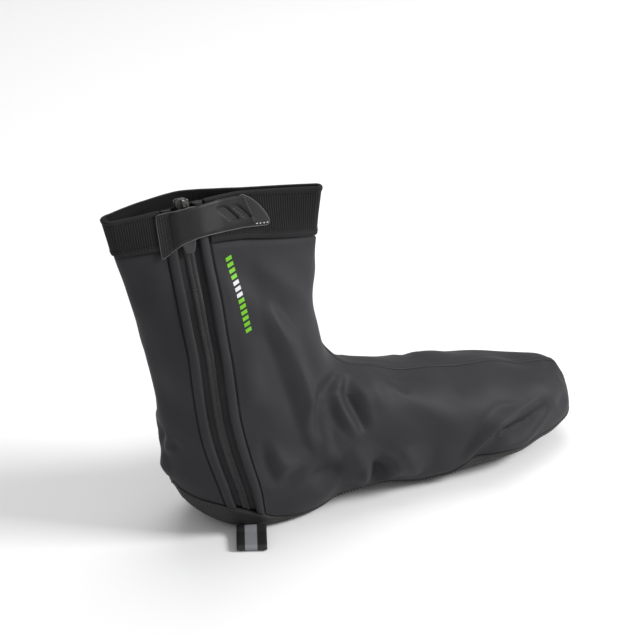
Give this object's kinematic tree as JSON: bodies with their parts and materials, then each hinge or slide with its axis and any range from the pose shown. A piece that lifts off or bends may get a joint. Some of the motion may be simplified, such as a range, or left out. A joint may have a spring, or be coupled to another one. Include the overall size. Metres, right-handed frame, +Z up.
{
  "type": "cycling overshoe",
  "caption": "Softshell cycling overshoe for a right foot, with a side zip behind the ankle, an elastic cuff, a closure tab and a pull loop.",
  "frame": {"origin": "on the floor, at the middle of the heel's level spot", "axes": "+X towards the toe, -Y the outer side of the right foot, +Z up"},
  "size_m": [0.346, 0.104, 0.2353],
  "materials": {
    "softshell": "charcoal softshell, smooth tight weave",
    "sole_panel": "coated hard-wearing fabric, matt",
    "elastic": "ribbed elastic, matt black",
    "zip_tape": "woven zip tape",
    "zip_coil": "black nylon coil",
    "slider_metal": "dark plated metal",
    "puller_rubber": "moulded rubber, matt",
    "tab_backing": "dark mesh with a light edge",
    "tab_overlay": "smooth coated overlay",
    "webbing": "black webbing with a silver middle stripe"
  },
  "bodies": {
    "shoe": {"upper": "softshell", "sole": "sole_panel", "cuff": "elastic", "zip_tape_front": "zip_tape", "zip_tape_rear": "zip_tape", "zip_coil": "zip_coil", "zip_slider": "slider_metal", "closure_tab": "tab_backing", "tab_overlay": "tab_overlay", "pull_loop": "webbing"},
    "puller": {"zip_puller": "puller_rubber"}
  },
  "joints": [
    {"name": "puller_swing", "type": "hinge", "parent": "shoe", "child": "puller", "pos_m": [-0.05484, -0.00326, 0.23219], "axis": [-0.991, 0.1241, -0.0503], "range_deg": [0, 2]}
  ]
}
